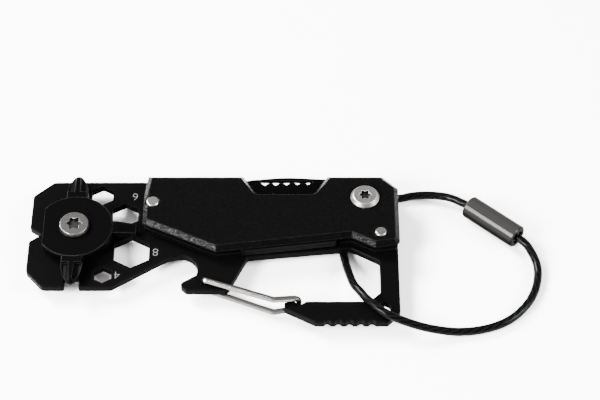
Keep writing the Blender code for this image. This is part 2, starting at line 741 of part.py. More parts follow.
def add_flutes(mesh, direction):
    """Four grooves of a cross bit, which leave a cross of thin wings at its tip."""
    near = FLUTE_RADIUS + WING_HALF_THICKNESS
    for side_x, side_z in ((1, 1), (1, -1), (-1, 1), (-1, -1)):
        tip = Vector((side_x * near, direction * (CROSS_BIT_TIP + CUT_PAST), WHEEL_MIDDLE_Z + side_z * near))
        spread = near + FLUTE_SPREAD
        root = Vector((side_x * spread, direction * FLUTE_START, WHEEL_MIDDLE_Z + side_z * spread))
        part = bmesh.new()
        bmesh.ops.create_cone(
            part, cap_ends=True, segments=16, radius1=FLUTE_RADIUS * MM, radius2=FLUTE_RADIUS * MM,
            depth=(tip - root).length * MM)
        turn = (tip - root).to_track_quat("Z", "Y").to_matrix().to_4x4()
        place = Matrix.Translation((tip + root) / 2 * MM)
        bmesh.ops.transform(part, matrix=place @ turn, verts=part.verts)
        join_into(mesh, part)


def add_slot_bit(mesh):
    """Flat bit along +X that thins towards its tip."""
    sections = (
        (WHEEL_RADIUS / 2, SLOT_BIT_ROOT_HALF_WIDTH, SLOT_BIT_ROOT_HALF_HEIGHT),
        (SLOT_BIT_SHOULDER, SLOT_BIT_ROOT_HALF_WIDTH, SLOT_BIT_ROOT_HALF_HEIGHT),
        (SLOT_BIT_TIP, SLOT_BIT_TIP_HALF_WIDTH, SLOT_BIT_TIP_HALF_HEIGHT),
    )
    loops = []
    for x, half_width, half_height in sections:
        loops.append([
            mesh.verts.new((x * MM, y * half_width * MM, (WHEEL_MIDDLE_Z + z * half_height) * MM))
            for y, z in ((-1, -1), (1, -1), (1, 1), (-1, 1))
        ])
    mesh.faces.new(list(reversed(loops[0])))
    mesh.faces.new(loops[-1])
    for lower, upper in zip(loops, loops[1:]):
        for index in range(4):
            after = (index + 1) % 4
            mesh.faces.new((lower[index], lower[after], upper[after], upper[index]))


def add_box(mesh, low, high):
    corners = [
        Vector((low[0], low[1])),
        Vector((high[0], low[1])),
        Vector((high[0], high[1])),
        Vector((low[0], high[1])),
    ]
    add_rings(mesh, [(corners, low[2]), (corners, high[2])])


def make_wheel(frame, material):
    mesh = bmesh.new()
    edge = WHEEL_CHAMFER
    add_turned(mesh, [
        (WHEEL_RADIUS - edge, WHEEL_Z),
        (WHEEL_RADIUS, WHEEL_Z + edge),
        (WHEEL_RADIUS, WHEEL_TOP_Z - edge),
        (WHEEL_RADIUS - edge, WHEEL_TOP_Z),
    ], 64)
    wheel = new_object("bit_wheel", mesh, (0, 0, 0), frame, material)

    bits = bmesh.new()
    add_slot_bit(bits)
    add_cross_bit(bits, 1)
    add_cross_bit(bits, -1)
    bit_stock = combine(wheel, "bit_stock", bits, "UNION")
    slabs = bmesh.new()
    reach = CROSS_BIT_TIP + CUT_SLAB
    face = STACK_GAP / 2
    add_box(slabs, (-reach, -reach, WHEEL_TOP_Z - face), (reach, reach, WHEEL_TOP_Z + CUT_SLAB))
    add_box(slabs, (-reach, -reach, WHEEL_Z - CUT_SLAB), (reach, reach, WHEEL_Z + face))
    combine(bit_stock, "bit_faces", slabs)
    flutes = bmesh.new()
    add_flutes(flutes, 1)
    add_flutes(flutes, -1)
    combine(bit_stock, "bit_flutes", flutes)

    flat = bmesh.new()
    flat_low = (-reach, -WHEEL_RADIUS, WHEEL_Z - CUT_PAST)
    flat_high = (WHEEL_FLAT_X, WHEEL_RADIUS, WHEEL_TOP_Z + CUT_PAST)
    add_box(flat, flat_low, flat_high)
    combine(wheel, "wheel_flat", flat)
    bore = bmesh.new()
    add_prism(bore, circle(BUSH_HOLE, 0, 0), WHEEL_Z - CUT_PAST, WHEEL_TOP_Z + CUT_PAST)
    combine(wheel, "wheel_bore", bore)
    return wheel


# Screws, nuts, bushes, washers and pins

def make_screw(name, place, frame, material, seat, head, lobe):
    """Screw with its head at seat; head is (radius, top radius, height), lobe (radius, depth)."""
    radius, top_radius, height = head
    lobe_radius, lobe_depth = lobe
    shank_end = NUT_FLOOR + 2 * STACK_GAP
    mesh = bmesh.new()
    under = seat + STACK_GAP
    add_turned(mesh, [
        (SHANK_RADIUS, shank_end),
        (SHANK_RADIUS, under),
        (radius, under),
        (radius, under + HEAD_RIM),
        (top_radius, under + height),
    ])
    screw = new_object(name, mesh, (*place, 0), frame, material)
    recess = bmesh.new()
    add_prism(recess, six_lobes(lobe_radius), under + height - lobe_depth, under + height + CUT_PAST)
    combine(screw, name + "_recess", recess)
    return screw


def make_nut(name, place, frame, material, barrel_top):
    """Barrel nut: a low round head behind the plate and a bored barrel through the stack."""
    bore = SHANK_RADIUS + PIN_GAP
    mesh = bmesh.new()
    add_turned(mesh, [
        (NUT_HEAD_RADIUS - NUT_HEAD_CHAMFER, 0),
        (NUT_HEAD_RADIUS, NUT_HEAD_CHAMFER),
        (NUT_HEAD_RADIUS, NUT_HEAD_HEIGHT),
        (BARREL_RADIUS, NUT_HEAD_HEIGHT),
        (BARREL_RADIUS, barrel_top),
        (bore, barrel_top),
        (bore, NUT_FLOOR),
    ])
    return new_object(name, mesh, (*place, 0), frame, material)


def make_ring(name, place, frame, material, outer, inner, bottom, top):
    mesh = bmesh.new()
    add_tube(mesh, outer, inner, bottom, top)
    return new_object(name, mesh, (*place, 0), frame, material)


def make_pin(name, place, frame, material, radius):
    """Headless pin from the back of the plate to just above the cover."""
    top = COVER_TOP_Z + PIN_PROUD
    edge = PIN_PROUD
    mesh = bmesh.new()
    add_turned(mesh, [
        (radius, PLATE_Z),
        (radius, top - edge),
        (radius - edge, top),
    ], SMALL_SEGMENTS)
    return new_object(name, mesh, (*place, 0), frame, material)


def make_fasteners(frame, steel, bronze):
    pivot_head = (PIVOT_HEAD_RADIUS, PIVOT_HEAD_TOP_RADIUS, PIVOT_HEAD_HEIGHT)
    wheel_head = (WHEEL_HEAD_RADIUS, WHEEL_HEAD_TOP_RADIUS, WHEEL_HEAD_HEIGHT)
    pivot_lobe = (PIVOT_LOBE_RADIUS, PIVOT_LOBE_DEPTH)
    wheel_lobe = (WHEEL_LOBE_RADIUS, WHEEL_LOBE_DEPTH)
    make_screw("pivot_screw", PIVOT, frame, steel, COVER_TOP_Z, pivot_head, pivot_lobe)
    make_screw("wheel_screw", (0, 0), frame, steel, WHEEL_TOP_Z, wheel_head, wheel_lobe)
    make_nut("pivot_nut", PIVOT, frame, steel, COVER_TOP_Z - STACK_GAP)
    make_nut("wheel_nut", (0, 0), frame, steel, WHEEL_TOP_Z - STACK_GAP)
    under_cover = COVER_Z - STACK_GAP
    make_ring("pivot_bush", PIVOT, frame, bronze, BUSH_RADIUS, BARREL_HOLE, LOWER_WASHER_Z, under_cover)
    make_ring("wheel_bush", (0, 0), frame, bronze, BUSH_RADIUS, BARREL_HOLE, WHEEL_WASHER_Z, WHEEL_TOP_Z)
    for name, bottom in (("blade_washer_lower", LOWER_WASHER_Z), ("blade_washer_upper", UPPER_WASHER_Z)):
        top = bottom + BLADE_WASHER_THICKNESS
        make_ring(name, PIVOT, frame, bronze, BLADE_WASHER_RADIUS, BUSH_HOLE, bottom, top)
    top = WHEEL_WASHER_Z + WHEEL_WASHER_THICKNESS
    make_ring("wheel_washer", (0, 0), frame, steel, WHEEL_WASHER_RADIUS, BUSH_HOLE, WHEEL_WASHER_Z, top)
    for pin, spacer, place, radius in (
        ("left_pin", "left_spacer", LEFT_PIN, LEFT_PIN_RADIUS),
        ("stop_pin", "stop_spacer", STOP_PIN, STOP_PIN_RADIUS),
    ):
        make_pin(pin, place, frame, steel, radius)
        bore = radius + PIN_GAP
        make_ring(spacer, place, frame, steel, bore + SPACER_WALL, bore, LOWER_WASHER_Z, under_cover)


# Wire gate and cable

def bend_path(corners, radius, steps=5):
    """Path through corners in space, with an arc of the given radius at each inner corner."""
    path = [corners[0]]
    for last, here, after in zip(corners, corners[1:], corners[2:]):
        to_last = last - here
        to_next = after - here
        half = to_last.angle(to_next) / 2
        reach = min(radius / math.tan(half), 0.48 * to_last.length, 0.48 * to_next.length)
        start = here + to_last.normalized() * reach
        end = here + to_next.normalized() * reach
        bisector = (to_last.normalized() + to_next.normalized()).normalized()
        centre = here + bisector * (reach / math.cos(half))
        arm_a = start - centre
        arm_b = end - centre
        sweep = arm_a.angle(arm_b)
        for step in range(steps + 1):
            share = step / steps
            weight_a = math.sin((1 - share) * sweep) / math.sin(sweep)
            weight_b = math.sin(share * sweep) / math.sin(sweep)
            path.append(centre + arm_a * weight_a + arm_b * weight_b)
    path.append(corners[-1])
    return path


def make_wire(name, path, radius, resolution, place, frame, material):
    """Round wire along a path, with flat closed ends."""
    curve = bpy.data.curves.new(name, "CURVE")
    curve.dimensions = "3D"
    curve.bevel_depth = radius * MM
    curve.bevel_resolution = resolution
    curve.use_fill_caps = True
    spline = curve.splines.new("POLY")
    spline.points.add(len(path) - 1)
    for point, where in zip(spline.points, path):
        point.co = (*(where * MM), 1.0)
    spline.use_smooth = True
    curve.materials.append(material)
    item = bpy.data.objects.new(name, curve)
    bpy.context.scene.collection.objects.link(item)
    item.parent = frame
    item.location = [size * MM for size in place]
    return item


def make_gate(frame, material):
    """One wire with a leg on each face of the plate, hooked into the plate at its pivot."""
    kink = Vector(GATE_KINK) - Vector(GATE_PIVOT)
    end = Vector(GATE_END) - Vector(GATE_PIVOT)
    upper = PLATE_TOP_Z + PIN_GAP + GATE_WIRE_RADIUS
    lower = PLATE_Z - PIN_GAP - GATE_WIRE_RADIUS
    middle = (upper + lower) / 2
    corners = [
        Vector((0, 0, middle + PIN_GAP)),
        Vector((0, 0, upper)),
        Vector((kink.x, kink.y, upper)),
        Vector((end.x, end.y, upper)),
        Vector((end.x, end.y, lower)),
        Vector((kink.x, kink.y - GATE_LOWER_DROP, lower)),
        Vector((0, 0, lower)),
        Vector((0, 0, middle - PIN_GAP)),
    ]
    path = bend_path(corners, GATE_BEND)
    return make_wire("gate_wire", path, GATE_WIRE_RADIUS, 3, (*GATE_PIVOT, 0), frame, material)


def smooth_through(points, step):
    """Points about step apart on a smooth curve through the given points."""
    path = []
    count = len(points)
    for index in range(count - 1):
        before = points[max(index - 1, 0)]
        here = points[index]
        after = points[index + 1]
        beyond = points[min(index + 2, count - 1)]
        pieces = max(1, round((after - here).length / step))
        for piece in range(pieces):
            t = piece / pieces
            path.append(
                0.5 * (2 * here + (after - before) * t
                       + (2 * before - 5 * here + 4 * after - beyond) * t ** 2
                       + (3 * here - before - 3 * after + beyond) * t ** 3))
    path.append(points[-1])
    return path


def sleeve_axis():
    angle = math.radians(SLEEVE_ANGLE)
    return Vector((math.cos(angle), math.sin(angle), 0))


def make_cable(frame, material):
    """Loop from one end of the sleeve, under the plate, up through the window and back."""
    axis = sleeve_axis()
    centre = Vector((*SLEEVE_CENTRE, SLEEVE_Z))
    half = SLEEVE_LENGTH / 2
    lying = CABLE_RADIUS + STACK_GAP
    crossing = PLATE_TOP_Z + CABLE_RADIUS + CORD_GAP
    under_plate = [
        (RIGHT + 15.6, 10.4, 2.6),
        (RIGHT + 12.0, 12.7, 2.2),
        (RIGHT + 7.6, 13.8, 1.7),
        (RIGHT + 3.8, 13.9, 1.3),
        (RIGHT + 0.5, 13.3, lying),
        (RIGHT - 5.6, 12.6, lying),
        (RIGHT - 11.2, 10.5, lying),
        (RIGHT - 13.0, 5.2, lying),
        (RIGHT - 13.1, 0.5, lying),
        (RIGHT - 12.6, -3.8, lying),
        (RIGHT - 12.3, -5.6, 1.3),
        (RIGHT - 12.0, -7.7, 2.0),
    ]
    over_arm = [
        (RIGHT - 10.7, ARM_TOP + 5.0, crossing - 1.2),
        (RIGHT - 9.2, ARM_TOP + 2.0, crossing - 0.3),
        (RIGHT - 7.6, ARM_TOP - 0.5, crossing),
        (RIGHT - 3.8, ARM_TOP - 4.2, crossing),
        (RIGHT + 1.0, ARM_TOP - 6.0, crossing - 1.0),
        (RIGHT + 6.5, ARM_TOP - 6.6, crossing - 2.7),
        (RIGHT + 12.7, ARM_TOP - 6.4, lying + 0.2),
        (RIGHT + 18.8, ARM_TOP - 5.4, lying),
        (RIGHT + 23.9, ARM_TOP - 3.1, lying),
        (RIGHT + 27.8, ARM_TOP + 0.7, lying),
        (RIGHT + 30.2, ARM_TOP + 4.9, lying),
        (RIGHT + 31.3, ARM_TOP + 9.5, lying + 0.1),
        (RIGHT + 31.1, ARM_TOP + 13.2, lying + 0.5),
        (RIGHT + 29.5, ARM_TOP + 17.1, lying + 1.1),
        (RIGHT + 28.1, ARM_TOP + 18.6, lying + 1.5),
    ]
    points = [centre - axis * (half - FERRULE_RECESS + CORD_GAP)]
    points += [Vector(point) for point in under_plate + over_arm]
    points.append(centre + axis * (half - FERRULE_RECESS + CORD_GAP))
    path = smooth_through(points, CABLE_STEP)
    return make_wire("cable", path, CABLE_RADIUS, 2, (0, 0, 0), frame, material)


def make_sleeve(frame, gunmetal, steel):
    """Screw sleeve on the cable, with an end fitting in each end."""
    place = (*SLEEVE_CENTRE, SLEEVE_Z)
    half = SLEEVE_LENGTH / 2
    along = sleeve_axis().to_track_quat("Z", "Y")
    mesh = bmesh.new()
    add_tube(mesh, SLEEVE_RADIUS, SLEEVE_BORE, -half, half, ROUND_SEGMENTS, SLEEVE_CHAMFER)
    sleeve = new_object("cable_sleeve", mesh, place, frame, gunmetal)
    sleeve.rotation_mode = "QUATERNION"
    sleeve.rotation_quaternion = along
    for name, side in (("swivel_ferrule", -1), ("screw_ferrule", 1)):
        outer = side * (half - FERRULE_RECESS)
        inner = outer - side * FERRULE_LENGTH
        mesh = bmesh.new()
        add_turned(mesh, [
            (FERRULE_RADIUS, inner),
            (FERRULE_RADIUS, outer - side * FERRULE_CHAMFER),
            (FERRULE_RADIUS - FERRULE_CHAMFER, outer),
        ], SMALL_SEGMENTS)
        ferrule = new_object(name, mesh, place, frame, steel)
        ferrule.rotation_mode = "QUATERNION"
        ferrule.rotation_quaternion = along


def main():
    clear_scene()
    black = make_material("black_coated_steel", (0.012, 0.012, 0.013), 0.5, 0.6)
    anodised = make_material("black_blasted_cover", (0.01, 0.01, 0.011), 0.6, 0.5)
    blade_black = make_material("black_blade", (0.014, 0.014, 0.015), 0.42, 0.7)
    wheel_black = make_material("black_wheel", (0.012, 0.013, 0.013), 0.45, 0.6)
    grey = make_material("grey_liner_steel", (0.12, 0.12, 0.12), 0.4, 1.0)
    steel = make_material("stainless_steel", (0.62, 0.61, 0.6), 0.3, 1.0)
    bronze = make_material("bearing_bronze", (0.5, 0.34, 0.16), 0.35, 1.0)
    wire = make_material("polished_wire", (0.75, 0.75, 0.75), 0.12, 1.0)
    gunmetal = make_material("polished_gunmetal", (0.16, 0.15, 0.15), 0.15, 1.0)
    coating = make_material("black_cable_coating", (0.01, 0.01, 0.01), 0.3, 0.0)

    frame = bpy.data.objects.new("tool_frame", None)
    bpy.context.scene.collection.objects.link(frame)
    frame.location = (-ORIGIN_X * MM, -ORIGIN_Y * MM, 0)

    make_plate(frame, black)
    make_cover(frame, anodised)
    make_liner(frame, grey)
    make_blade(frame, blade_black)
    make_wheel(frame, wheel_black)
    make_fasteners(frame, steel, bronze)
    make_gate(frame, wire)
    make_cable(frame, coating)
    make_sleeve(frame, gunmetal, steel)


main()
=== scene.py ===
"""Keychain multi tool in a soft white studio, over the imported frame."""
import math

import bmesh
import bpy
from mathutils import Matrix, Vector


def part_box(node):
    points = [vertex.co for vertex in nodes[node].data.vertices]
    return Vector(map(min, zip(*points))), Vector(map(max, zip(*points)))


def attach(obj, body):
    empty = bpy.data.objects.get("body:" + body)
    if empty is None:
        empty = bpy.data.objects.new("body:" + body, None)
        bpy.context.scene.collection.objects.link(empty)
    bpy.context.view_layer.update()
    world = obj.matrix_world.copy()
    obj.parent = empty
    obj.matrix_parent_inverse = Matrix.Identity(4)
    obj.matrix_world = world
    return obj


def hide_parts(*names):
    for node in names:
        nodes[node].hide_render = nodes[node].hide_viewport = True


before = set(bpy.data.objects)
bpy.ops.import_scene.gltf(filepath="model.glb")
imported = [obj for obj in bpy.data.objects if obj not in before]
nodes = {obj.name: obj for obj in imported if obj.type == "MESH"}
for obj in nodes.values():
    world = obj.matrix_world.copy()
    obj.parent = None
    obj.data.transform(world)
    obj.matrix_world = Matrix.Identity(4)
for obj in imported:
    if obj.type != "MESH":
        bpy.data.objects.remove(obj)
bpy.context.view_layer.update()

# Sizes are in millimetres, and MM turns them into metres
MM = 0.001
# The frame's origin is under the middle of the tool, whose size leaves out its cable
TOOL_LENGTH = 84.4
TOOL_WIDTH = 40.7
WHEEL_FROM_LEFT = 10.5
WHEEL_FROM_TOP = 15.8
# The wheel's axis is the zero of the plan sizes
PLAN_ZERO = Vector((WHEEL_FROM_LEFT - TOOL_LENGTH / 2, TOOL_WIDTH / 2 - WHEEL_FROM_TOP, 0))
PLATE_TOP_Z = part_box("body_plate")[1].z / MM


def plan(x, y, z):
    """Point in the frame, in metres, from plan sizes in millimetres."""
    return (PLAN_ZERO + Vector((x, y, z))) * MM


def add_object(name, data):
    """New object in the scene's own collection."""
    made = bpy.data.objects.new(name, data)
    bpy.context.scene.collection.objects.link(made)
    return made


def add_mesh(name, mesh):
    """New object from a bmesh, which is freed."""
    data = bpy.data.meshes.new(name)
    mesh.to_mesh(data)
    mesh.free()
    return add_object(name, data)


# Camera, fitted to the photograph

LENS = 122.3
SENSOR_WIDTH = 36.0
CAMERA_PLACE = (51.3, -293.25, 365.9)
CAMERA_TILT = math.radians(40)
NEAREST_SEEN = 10.0
FARTHEST_SEEN = 10000.0


def make_camera():
    data = bpy.data.cameras.new("camera")
    data.sensor_width = SENSOR_WIDTH
    data.lens = LENS
    data.clip_start = NEAREST_SEEN * MM
    data.clip_end = FARTHEST_SEEN * MM
    camera = add_object("camera", data)
    camera.location = plan(*CAMERA_PLACE)
    camera.rotation_euler = (CAMERA_TILT, 0, 0)
    bpy.context.scene.camera = camera


# Shader helpers

def grey(value):
    """Colour with equal red, green and blue."""
    return (value, value, value)


def add_node(tree, kind, settings=None, **values):
    """Shader node with settings as attributes and values on its input sockets."""
    made = tree.nodes.new(kind)
    for name, value in (settings or {}).items():
        setattr(made, name, value)
    for name, value in values.items():
        made.inputs[name.replace("_", " ")].default_value = value
    return made


def use_group(tree, group, **values):
    """Node group placed in a tree, with values on its input sockets."""
    return add_node(tree, "ShaderNodeGroup", {"node_tree": group}, **values)


def new_group(name, inputs, outputs):
    """Node group with inputs given as (name, kind, default) and outputs as (name, kind)."""
    group = bpy.data.node_groups.new(name, "ShaderNodeTree")
    for label, kind, value in inputs:
        socket = group.interface.new_socket(label, in_out="INPUT", socket_type=kind)
        socket.default_value = value
    for label, kind in outputs:
        group.interface.new_socket(label, in_out="OUTPUT", socket_type=kind)
    return group, group.nodes.new("NodeGroupInput"), group.nodes.new("NodeGroupOutput")


def calculate(tree, operation, *values):
    """Result of a math node on numbers and output sockets."""
    made = add_node(tree, "ShaderNodeMath", {"operation": operation})
    for value, socket in zip(values, made.inputs):
        if isinstance(value, bpy.types.NodeSocket):
            tree.links.new(value, socket)
        else:
            socket.default_value = value
    return made.outputs["Value"]


def ramp(tree, value, none_at, full_at):
    """Mask that rises from 0 to 1 while a value goes from none_at to full_at."""
    made = add_node(tree, "ShaderNodeMapRange", From_Min=none_at, From_Max=full_at)
    tree.links.new(value, made.inputs["Value"])
    return made.outputs["Result"]


def blend(tree, mask, low, high):
    """Colour from low to high by a mask; low may be a colour or an output socket."""
    mix = add_node(tree, "ShaderNodeMix", {"data_type": "RGBA"})
    if isinstance(low, tuple):
        mix.inputs["A"].default_value = (*low, 1.0)
    else:
        tree.links.new(low, mix.inputs["A"])
    mix.inputs["B"].default_value = (*high, 1.0)
    tree.links.new(mask, mix.inputs["Factor"])
    return mix.outputs["Result"]


def bumped(tree, height, depth, base):
    """Normal of a surface with a height of that depth on it, over a base normal."""
    bump = add_node(tree, "ShaderNodeBump", Strength=1.0)
    tree.links.new(depth, bump.inputs["Distance"])
    tree.links.new(height, bump.inputs["Height"])
    tree.links.new(base, bump.inputs["Normal"])
    return bump.outputs["Normal"]


def object_noise(tree, **values):
    """Noise over an object's own coordinates."""
    place = add_node(tree, "ShaderNodeTexCoord")
    noise = add_node(tree, "ShaderNodeTexNoise", **values)
    tree.links.new(place.outputs["Object"], noise.inputs["Vector"])
    return noise


# Textures that several materials share

FLOAT = "NodeSocketFloat"
VECTOR = "NodeSocketVector"
# Cosines between a bevel's normal and the face's own
EDGE_STARTS = 0.995
EDGE_FULL = 0.9
# Heights of the grain's noise
SPOT_STARTS = 0.44
SPOT_FULL = 0.64
# Upward shares of a normal
UPWARD_STARTS = 0.1
UPWARD_FULL = 0.5
# Strengths of the noise that wears the turned rings
WEAR_STARTS = 0.4
WEAR_FULL = 0.6
TURNED_EDGE = 0.15


def edge_mask(group, rounded):
    """Mask of the places where a bevel's normal leaves the face's own normal."""
    face = add_node(group, "ShaderNodeNewGeometry")
    along = add_node(group, "ShaderNodeVectorMath", {"operation": "DOT_PRODUCT"})
    group.links.new(rounded, along.inputs[0])
    group.links.new(face.outputs["Normal"], along.inputs[1])
    return ramp(group, along.outputs["Value"], EDGE_STARTS, EDGE_FULL)


def upward_mask(group):
    """Mask of the faces that look up."""
    face = add_node(group, "ShaderNodeNewGeometry")
    split = add_node(group, "ShaderNodeSeparateXYZ")
    group.links.new(face.outputs["Normal"], split.inputs["Vector"])
    return ramp(group, split.outputs["Z"], UPWARD_STARTS, UPWARD_FULL)


def make_grain_group():
    """Fine blasted grain: a normal, and masks of its high spots, of edges and of faces that look up."""
    group, feed, give = new_group(
        "blasted_grain",
        [("Scale", FLOAT, 4000.0), ("Depth", FLOAT, 0.02 * MM),
         ("Edge", FLOAT, 0.12 * MM), ("Soft edge", FLOAT, 0.12 * MM)],
        [("Normal", VECTOR), ("High spots", FLOAT), ("Edge", FLOAT), ("Upward", FLOAT)])
    noise = object_noise(group, Detail=4.0, Roughness=0.6)
    group.links.new(feed.outputs["Scale"], noise.inputs["Scale"])
    rounding = add_node(group, "ShaderNodeBevel", {"samples": 4})
    group.links.new(feed.outputs["Edge"], rounding.inputs["Radius"])
    soft = add_node(group, "ShaderNodeBevel", {"samples": 8})
    group.links.new(feed.outputs["Soft edge"], soft.inputs["Radius"])
    grained = bumped(group, noise.outputs["Fac"], feed.outputs["Depth"], soft.outputs["Normal"])
    group.links.new(grained, give.inputs["Normal"])
    group.links.new(ramp(group, noise.outputs["Fac"], SPOT_STARTS, SPOT_FULL), give.inputs["High spots"])
    group.links.new(edge_mask(group, rounding.outputs["Normal"]), give.inputs["Edge"])
    group.links.new(upward_mask(group), give.inputs["Upward"])
    return group


def distance_from_axis(group, point, centre):
    """Distance of a point from an upright axis through a centre."""
    local = add_node(group, "ShaderNodeVectorMath", {"operation": "SUBTRACT"})
    group.links.new(point, local.inputs[0])
    group.links.new(centre, local.inputs[1])
    level = add_node(group, "ShaderNodeVectorMath", {"operation": "MULTIPLY"})
    level.inputs[1].default_value = (1, 1, 0)
    group.links.new(local.outputs["Vector"], level.inputs[0])
    reach = add_node(group, "ShaderNodeVectorMath", {"operation": "LENGTH"})
    group.links.new(level.outputs["Vector"], reach.inputs[0])
    return reach.outputs["Value"]


def make_turned_group():
    """Worn rings round an upright axis, as left by a lathe, and masks of edges and of a recess in its top."""
    group, feed, give = new_group(
        "turned_rings",
        [("Centre", VECTOR, (0, 0, 0)), ("Rings per metre", FLOAT, 6000.0), ("Depth", FLOAT, 0.006 * MM),
         ("Recess radius", FLOAT, 0.0), ("Recess top", FLOAT, 0.0)],
        [("Normal", VECTOR), ("Rings", FLOAT), ("Recess", FLOAT), ("Edge", FLOAT)])
    place = add_node(group, "ShaderNodeTexCoord")
    reach = distance_from_axis(group, place.outputs["Object"], feed.outputs["Centre"])
    rings = add_node(group, "ShaderNodeTexNoise", {"noise_dimensions": "1D"}, Detail=3.0)
    group.links.new(reach, rings.inputs["W"])
    group.links.new(feed.outputs["Rings per metre"], rings.inputs["Scale"])
    wear = object_noise(group, Scale=3500.0, Detail=4.0, Roughness=0.7)
    worn = ramp(group, wear.outputs["Fac"], WEAR_STARTS, WEAR_FULL)
    group.links.new(calculate(group, "MULTIPLY", rings.outputs["Fac"], worn), give.inputs["Rings"])
    rounding = add_node(group, "ShaderNodeBevel", {"samples": 4}, Radius=TURNED_EDGE * MM)
    group.links.new(edge_mask(group, rounding.outputs["Normal"]), give.inputs["Edge"])
    ringed = bumped(group, rings.outputs["Fac"], feed.outputs["Depth"], rounding.outputs["Normal"])
    group.links.new(ringed, give.inputs["Normal"])
    split = add_node(group, "ShaderNodeSeparateXYZ")
    group.links.new(place.outputs["Object"], split.inputs["Vector"])
    below = calculate(group, "LESS_THAN", split.outputs["Z"], feed.outputs["Recess top"])
    within = calculate(group, "LESS_THAN", reach, feed.outputs["Recess radius"])
    group.links.new(calculate(group, "MULTIPLY", below, within), give.inputs["Recess"])
    return group


GRAIN = make_grain_group()
TURNED = make_turned_group()

# Materials

DEFAULT_GLOSS = 0.5
BLACK_GLOSS = 0.007
DEEP_BLACK = grey(0.0003)
# Painted shade inside a recess
RECESS_SHADE = grey(0.02)
# Painted shade in a recess starts this far below the node's top
RECESS_STARTS = 0.1
GROOVE_SHADE = 0.5
# Painted highlight: rims are this many times lighter than the metal
RIM_HIGHLIGHT = 3.0
BRIGHTEST = 0.8
# Shares of a polished metal's roughness, at its smoothest and its most handled
SMOOTHEST = 0.6
MOST_HANDLED = 1.8


def start_material(name, colour, roughness, metallic=0.0, gloss=DEFAULT_GLOSS):
    """New material, with its node tree and its Principled shader."""
    material = bpy.data.materials.new(name)
    material.use_nodes = True
    tree = material.node_tree
    shader = tree.nodes["Principled BSDF"]
    shader.inputs["Base Color"].default_value = (*colour, 1.0)
    shader.inputs["Roughness"].default_value = roughness
    shader.inputs["Metallic"].default_value = metallic
    shader.inputs["Specular IOR Level"].default_value = gloss
    return material, tree, shader


def coated_material(name, colour, edge_wear_and_highlight_colour, roughness, grain_scale=3000.0, grain_depth=0.01):
    """Black coated steel: fine grain, and lighter edges that are partly thin coating and partly painted
    highlight.
    """
    material, tree, shader = start_material(name, colour, roughness, gloss=BLACK_GLOSS)
    grain = use_group(tree, GRAIN, Scale=grain_scale, Depth=grain_depth * MM)
    # Lighter edges: partly coating worn thin, partly a painted highlight along the edges
    worn = blend(tree, grain.outputs["Edge"], colour, edge_wear_and_highlight_colour)
    tree.links.new(worn, shader.inputs["Base Color"])
    tree.links.new(grain.outputs["Normal"], shader.inputs["Normal"])
    return material


def cover_material():
    """Blasted black cover: bare high spots of the grain catch the light on the faces that look up, and a
    painted highlight runs along its edges.
    """
    material, tree, shader = start_material("cover_blasted", DEEP_BLACK, roughness=0.2, gloss=0.0)
    grain = use_group(tree, GRAIN, Scale=4500.0, Depth=0.026 * MM, Soft_edge=0.4 * MM)
    bare = calculate(tree, "MULTIPLY", grain.outputs["High spots"], grain.outputs["Upward"])
    speckled = blend(tree, bare, DEEP_BLACK, grey(0.0042))
    # Painted highlight: a lighter line along the cover's edges
    edge_highlighted = blend(tree, grain.outputs["Edge"], speckled, grey(0.012))
    tree.links.new(bare, shader.inputs["Metallic"])
    tree.links.new(edge_highlighted, shader.inputs["Base Color"])
    tree.links.new(grain.outputs["Normal"], shader.inputs["Normal"])
    return material


def shaded(colour, share):
    """Colour times a share, with no part over the brightest."""
    return tuple(min(part * share, BRIGHTEST) for part in colour)


def turned_material(node, colour, roughness, recess=0.0):
    """Turned metal with rings round the node's own axis, a painted highlight on its rims and painted shade
    inside a recess of that radius.
    """
    low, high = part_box(node)
    material, tree, shader = start_material(node + "_turned", colour, roughness, metallic=1.0)
    rings = use_group(
        tree, TURNED, Centre=(low + high) / 2, Recess_radius=recess * MM,
        Recess_top=high.z - RECESS_STARTS * MM)
    ringed = blend(tree, rings.outputs["Rings"], shaded(colour, GROOVE_SHADE), colour)
    # Painted highlight along the rims
    edge_highlighted = blend(tree, rings.outputs["Edge"], ringed, shaded(colour, RIM_HIGHLIGHT))
    # Painted shade inside the recess
    recess_shaded = blend(tree, rings.outputs["Recess"], edge_highlighted, RECESS_SHADE)
    tree.links.new(recess_shaded, shader.inputs["Base Color"])
    tree.links.new(rings.outputs["Normal"], shader.inputs["Normal"])
    return material


def polished_material(name, colour, grazing_shade_colour, roughness):
    """Polished metal with faint handling marks, and painted shade where it turns away from the view."""
    material, tree, shader = start_material(name, colour, roughness, metallic=1.0)
    marks = object_noise(tree, Scale=900.0, Detail=5.0)
    handled = add_node(
        tree, "ShaderNodeMapRange", To_Min=roughness * SMOOTHEST, To_Max=roughness * MOST_HANDLED)
    tree.links.new(marks.outputs["Fac"], handled.inputs["Value"])
    tree.links.new(handled.outputs["Result"], shader.inputs["Roughness"])
    turn = add_node(tree, "ShaderNodeLayerWeight", Blend=0.6)
    # Painted shade: the colour darkens where the surface turns away from the view
    tree.links.new(blend(tree, turn.outputs["Facing"], colour, grazing_shade_colour), shader.inputs["Base Color"])
    return material


def sleeve_material():
    """Smoked chrome, with painted shade on its flanks and underside."""
    smoke = (0.012, 0.0116, 0.0114)
    material, tree, shader = start_material(
        "sleeve_polished", smoke, roughness=0.12, metallic=0.33, gloss=0.0)
    shader.inputs["Specular Tint"].default_value = (*grey(0.6), 1.0)
    grain = use_group(tree, GRAIN, Depth=0.001 * MM)
    # Painted shade: faces that do not look up are darker
    underside_shade = blend(tree, grain.outputs["Upward"], grey(0.001), smoke)
    tree.links.new(underside_shade, shader.inputs["Base Color"])
    tree.links.new(grain.outputs["Normal"], shader.inputs["Normal"])
    return material


def paint(name, material):
    """Material for one CAD node."""
    data = nodes[name].data
    data.materials.clear()
    data.materials.append(material)


